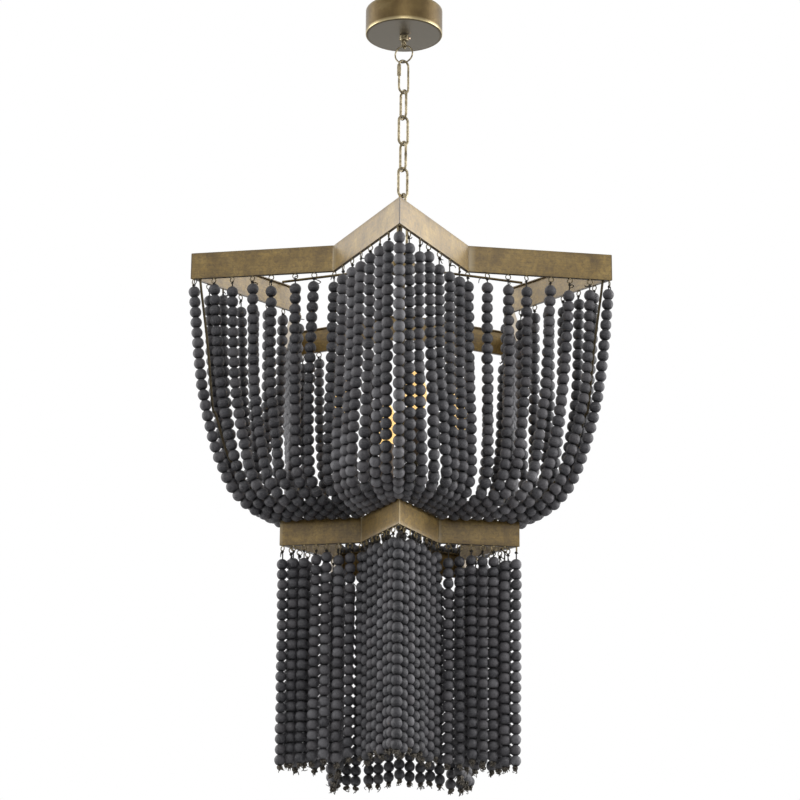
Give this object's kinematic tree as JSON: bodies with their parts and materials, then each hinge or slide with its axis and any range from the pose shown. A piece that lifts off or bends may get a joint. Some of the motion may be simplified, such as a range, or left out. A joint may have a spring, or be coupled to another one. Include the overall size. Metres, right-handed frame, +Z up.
{
  "type": "beaded chandelier",
  "caption": "Two-tier chandelier: star bands of antique brass sheet hung with strings of dark wooden beads, on a short chain and ceiling canopy.",
  "frame": {"origin": "on the axis of the chain, in the plane of the ceiling that the canopy covers", "axes": "+Z up out of the ceiling plane, -Y towards the star point that faces the viewer, +X to the viewer's right"},
  "size_m": [0.6633, 0.6322, 1.2858],
  "materials": {
    "band_brass": "antique leaf, mottled gold brown with dark thin edges",
    "frame_brass": "antique brass, satin",
    "chain_brass": "worn antique brass, pale and slightly rough",
    "screw_metal": "bright plated",
    "steel": "zinc plated",
    "beads": "charcoal stained, matte, with faint grain",
    "candle_sleeve": "brown, matte",
    "lamp_glass": "warm frosted"
  },
  "bodies": {
    "ceiling_mount": {"canopy_cover": "frame_brass", "canopy_crossbar": "steel", "canopy_nipple": "steel", "canopy_locknut": "steel", "canopy_loop": "chain_brass"},
    "set_screw": {"loop_set_screw": "screw_metal"},
    "ring": {"canopy_ring": "frame_brass"},
    "quick_link": {"quick_link": "chain_brass"},
    "quick_nut": {"quick_link_nut": "chain_brass"},
    "chain_1": {"chain_link_1": "chain_brass"},
    "chain_2": {"chain_link_2": "chain_brass"},
    "chain_3": {"chain_link_3": "chain_brass"},
    "chain_4": {"chain_link_4": "chain_brass"},
    "chain_5": {"chain_link_5": "chain_brass"},
    "chain_6": {"chain_link_6": "chain_brass"},
    "fixture": {"hub_eye": "frame_brass", "hub": "frame_brass", "upper_star_band": "band_brass", "lower_star_band": "band_brass", "rib_1": "frame_brass", "rib_2": "frame_brass", "rib_3": "frame_brass", "rib_4": "frame_brass", "rib_5": "frame_brass", "centre_stem": "frame_brass", "lamp_cup": "frame_brass", "stem_finial": "frame_brass", "candle_sleeve_1": "candle_sleeve", "candle_sleeve_2": "candle_sleeve", "candle_sleeve_3": "candle_sleeve", "candle_sleeve_4": "candle_sleeve", "upper_strings_1": "beads", "upper_strings_2": "beads", "upper_strings_3": "beads", "upper_strings_4": "beads", "upper_strings_5": "beads", "upper_strings_6": "beads", "upper_strings_7": "beads", "upper_strings_8": "beads", "upper_strings_9": "beads", "upper_strings_10": "beads"},
    "lamp_bulb_1": {"bulb_1": "lamp_glass"},
    "lamp_bulb_2": {"bulb_2": "lamp_glass"},
    "lamp_bulb_3": {"bulb_3": "lamp_glass"},
    "lamp_bulb_4": {"bulb_4": "lamp_glass"},
    "curtain_after_1": {"lower_strings_after_1": "beads"},
    "curtain_before_1": {"lower_strings_before_1": "beads"},
    "curtain_notch_1": {"lower_strings_notch_1": "beads"},
    "curtain_after_2": {"lower_strings_after_2": "beads"},
    "curtain_before_2": {"lower_strings_before_2": "beads"},
    "curtain_notch_2": {"lower_strings_notch_2": "beads"},
    "curtain_after_3": {"lower_strings_after_3": "beads"},
    "curtain_before_3": {"lower_strings_before_3": "beads"},
    "curtain_notch_3": {"lower_strings_notch_3": "beads"},
    "curtain_after_4": {"lower_strings_after_4": "beads"},
    "curtain_before_4": {"lower_strings_before_4": "beads"},
    "curtain_notch_4": {"lower_strings_notch_4": "beads"},
    "curtain_after_5": {"lower_strings_after_5": "beads"},
    "curtain_before_5": {"lower_strings_before_5": "beads"},
    "curtain_notch_5": {"lower_strings_notch_5": "beads"}
  },
  "joints": [
    {"name": "ring_swing", "type": "hinge", "parent": "ceiling_mount", "child": "ring", "pos_m": [0, 0, -0.0663], "axis": [0.342, 0.9397, 0], "range_deg": [-12, 12]},
    {"name": "quick_link_swing", "type": "hinge", "parent": "ring", "child": "quick_link", "pos_m": [0, 0, -0.0931], "axis": [0.9397, -0.342, 0], "range_deg": [-12, 12]},
    {"name": "quick_nut_travel", "type": "slide", "parent": "quick_link", "child": "quick_nut", "axis": [0, 0, -1], "range_m": [0, 0.018]},
    {"name": "set_screw_travel", "type": "slide", "parent": "ceiling_mount", "child": "set_screw", "axis": [1, 0, 0], "range_m": [0, 0.003]},
    {"name": "chain_1_swing", "type": "hinge", "parent": "quick_link", "child": "chain_1", "pos_m": [0, 0, -0.1481], "axis": [0.8192, 0.5736, 0], "range_deg": [-12, 12]},
    {"name": "chain_2_swing", "type": "hinge", "parent": "chain_1", "child": "chain_2", "pos_m": [0, 0, -0.19425], "axis": [0.5299, -0.848, 0], "range_deg": [-12, 12]},
    {"name": "chain_3_swing", "type": "hinge", "parent": "chain_2", "child": "chain_3", "pos_m": [0, 0, -0.24005], "axis": [0.848, 0.5299, 0], "range_deg": [-12, 12]},
    {"name": "chain_4_swing", "type": "hinge", "parent": "chain_3", "child": "chain_4", "pos_m": [0, 0, -0.28585], "axis": [0.5299, -0.848, 0], "range_deg": [-12, 12]},
    {"name": "chain_5_swing", "type": "hinge", "parent": "chain_4", "child": "chain_5", "pos_m": [0, 0, -0.33165], "axis": [0.848, 0.5299, 0], "range_deg": [-12, 12]},
    {"name": "chain_6_swing", "type": "hinge", "parent": "chain_5", "child": "chain_6", "pos_m": [0, 0, -0.37745], "axis": [0.5299, -0.848, 0], "range_deg": [-12, 12]},
    {"name": "fixture_swing", "type": "hinge", "parent": "chain_6", "child": "fixture", "pos_m": [0, 0, -0.42325], "axis": [0.848, 0.5299, 0], "range_deg": [-12, 12]},
    {"name": "bulb_1_unscrew", "type": "slide", "parent": "fixture", "child": "lamp_bulb_1", "axis": [0, 0, 1], "range_m": [0, 0.035]},
    {"name": "bulb_2_unscrew", "type": "slide", "parent": "fixture", "child": "lamp_bulb_2", "axis": [0, 0, 1], "range_m": [0, 0.035]},
    {"name": "bulb_3_unscrew", "type": "slide", "parent": "fixture", "child": "lamp_bulb_3", "axis": [0, 0, 1], "range_m": [0, 0.035]},
    {"name": "bulb_4_unscrew", "type": "slide", "parent": "fixture", "child": "lamp_bulb_4", "axis": [0, 0, 1], "range_m": [0, 0.035]},
    {"name": "curtain_after_1_swing", "type": "hinge", "parent": "fixture", "child": "curtain_after_1", "pos_m": [0.02074, -0.1508, -0.9405], "axis": [-0.4662, -0.8847, 0], "range_deg": [0, 8]},
    {"name": "curtain_before_1_swing", "type": "hinge", "parent": "fixture", "child": "curtain_before_1", "pos_m": [-0.02489, -0.14293, -0.9405], "axis": [-0.4662, 0.8847, 0], "range_deg": [0, 8]},
    {"name": "curtain_notch_1_swing", "type": "hinge", "parent": "fixture", "child": "curtain_notch_1", "pos_m": [0.05808, -0.07994, -0.9405], "axis": [0.809, 0.5878, 0], "range_deg": [0, 8]},
    {"name": "curtain_after_2_swing", "type": "hinge", "parent": "fixture", "child": "curtain_after_2", "pos_m": [0.14983, -0.02687, -0.9405], "axis": [0.6973, -0.7168, 0], "range_deg": [0, 8]},
    {"name": "curtain_before_2_swing", "type": "hinge", "parent": "fixture", "child": "curtain_before_2", "pos_m": [0.12824, -0.06784, -0.9405], "axis": [-0.9854, -0.17, 0], "range_deg": [0, 8]},
    {"name": "curtain_notch_2_swing", "type": "hinge", "parent": "fixture", "child": "curtain_notch_2", "pos_m": [0.09398, 0.03054, -0.9405], "axis": [-0.309, 0.9511, 0], "range_deg": [0, 8]},
    {"name": "curtain_after_3_swing", "type": "hinge", "parent": "fixture", "child": "curtain_after_3", "pos_m": [0.07186, 0.1342, -0.9405], "axis": [0.8972, 0.4417, 0], "range_deg": [0, 8]},
    {"name": "curtain_before_3_swing", "type": "hinge", "parent": "fixture", "child": "curtain_before_3", "pos_m": [0.10415, 0.101, -0.9405], "axis": [-0.1428, -0.9897, 0], "range_deg": [0, 8]},
    {"name": "curtain_notch_3_swing", "type": "hinge", "parent": "fixture", "child": "curtain_notch_3", "pos_m": [0, 0.09882, -0.9405], "axis": [-1, 0, 0], "range_deg": [0, 8]},
    {"name": "curtain_after_4_swing", "type": "hinge", "parent": "fixture", "child": "curtain_after_4", "pos_m": [-0.10542, 0.10981, -0.9405], "axis": [-0.1428, 0.9897, 0], "range_deg": [0, 8]},
    {"name": "curtain_before_4_swing", "type": "hinge", "parent": "fixture", "child": "curtain_before_4", "pos_m": [-0.06387, 0.13026, -0.9405], "axis": [0.8972, -0.4417, 0], "range_deg": [0, 8]},
    {"name": "curtain_notch_4_swing", "type": "hinge", "parent": "fixture", "child": "curtain_notch_4", "pos_m": [-0.09398, 0.03054, -0.9405], "axis": [-0.309, -0.9511, 0], "range_deg": [0, 8]},
    {"name": "curtain_after_5_swing", "type": "hinge", "parent": "fixture", "child": "curtain_after_5", "pos_m": [-0.13701, -0.06633, -0.9405], "axis": [-0.9854, 0.17, 0], "range_deg": [0, 8]},
    {"name": "curtain_before_5_swing", "type": "hinge", "parent": "fixture", "child": "curtain_before_5", "pos_m": [-0.14363, -0.02049, -0.9405], "axis": [0.6973, 0.7168, 0], "range_deg": [0, 8]},
    {"name": "curtain_notch_5_swing", "type": "hinge", "parent": "fixture", "child": "curtain_notch_5", "pos_m": [-0.05808, -0.07994, -0.9405], "axis": [0.809, -0.5878, 0], "range_deg": [0, 8]}
  ]
}
